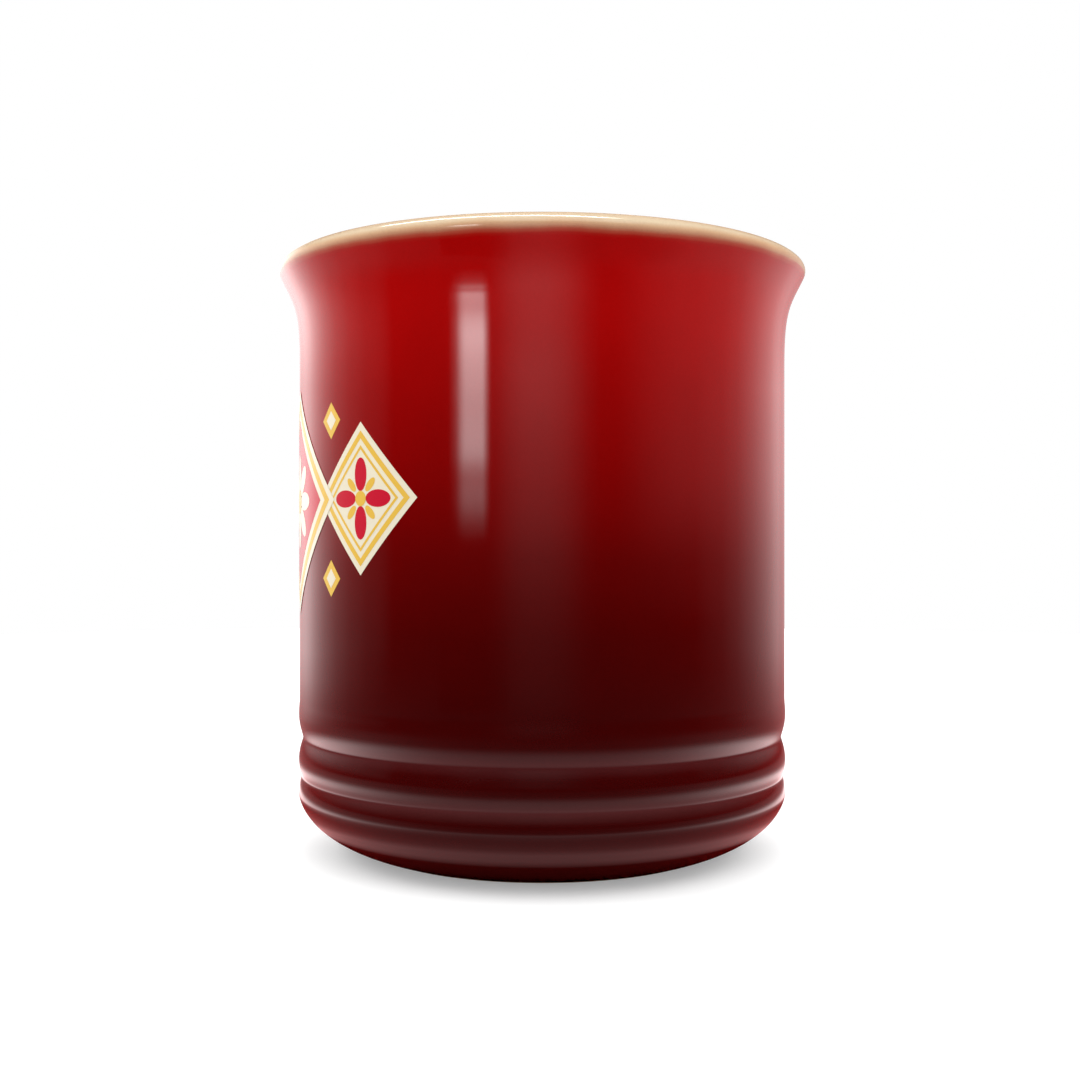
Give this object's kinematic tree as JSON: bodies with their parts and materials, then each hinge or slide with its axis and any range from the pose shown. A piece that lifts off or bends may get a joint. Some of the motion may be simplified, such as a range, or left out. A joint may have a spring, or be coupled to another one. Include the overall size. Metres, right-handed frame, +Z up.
{
  "type": "stoneware mug",
  "caption": "Stoneware mug: straight wall with a flared rolled lip, soft ribs above a rounded base, a foot ring, and an ear handle joined with slip under red and cream glazes.",
  "frame": {"origin": "on the surface that the foot stands on, under the middle of the mug's full width with its handle; the cup's turning axis is at X = 0, Y = -0.018135 m", "axes": "+Z up along the cup's turning axis, +Y from the cup towards the handle, +X to the side"},
  "size_m": [0.0876, 0.1235, 0.0975],
  "materials": {
    "bare_stoneware": "matte",
    "joining_slip": "matte",
    "cream_glaze": "gloss",
    "red_glaze": "gloss"
  },
  "bodies": {
    "root": {"cup_body": "bare_stoneware", "handle": "bare_stoneware", "upper_handle_joint": "joining_slip", "lower_handle_joint": "joining_slip", "liner_glaze": "cream_glaze", "outer_glaze": "red_glaze"}
  },
  "joints": []
}
